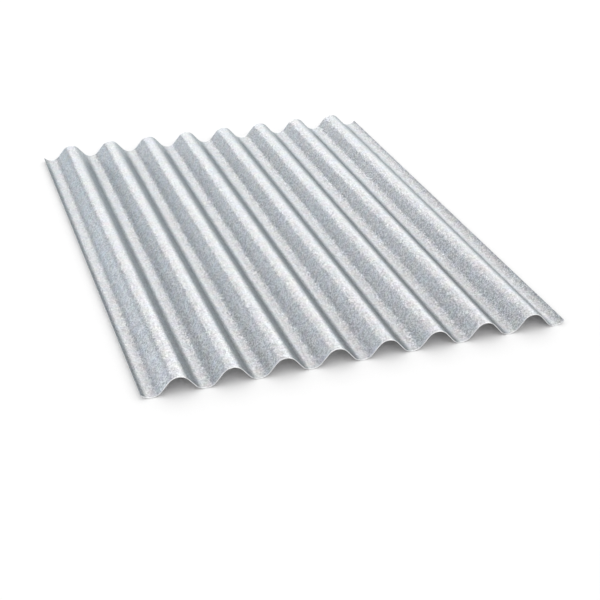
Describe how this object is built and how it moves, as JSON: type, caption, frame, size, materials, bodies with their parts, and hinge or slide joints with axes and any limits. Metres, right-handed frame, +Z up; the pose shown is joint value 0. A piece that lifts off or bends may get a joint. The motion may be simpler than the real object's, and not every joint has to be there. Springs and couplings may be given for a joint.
{
  "type": "corrugated roofing sheet",
  "caption": "Galvanized steel roofing sheet rolled into round waves, with plain cut ends and a valley along both long edges, so that like sheets lap and nest.",
  "frame": {"origin": "on the floor, under the middle of the sheet as it lies on the undersides of its valleys", "axes": "+X across the waves, +Y along the ridges, +Z up out of the crests"},
  "size_m": [0.5676, 0.78, 0.023],
  "materials": {
    "galvanized_steel": "satin hot-dip zinc with a fine grain"
  },
  "bodies": {
    "root": {"corrugated_sheet": "galvanized_steel"}
  },
  "joints": []
}
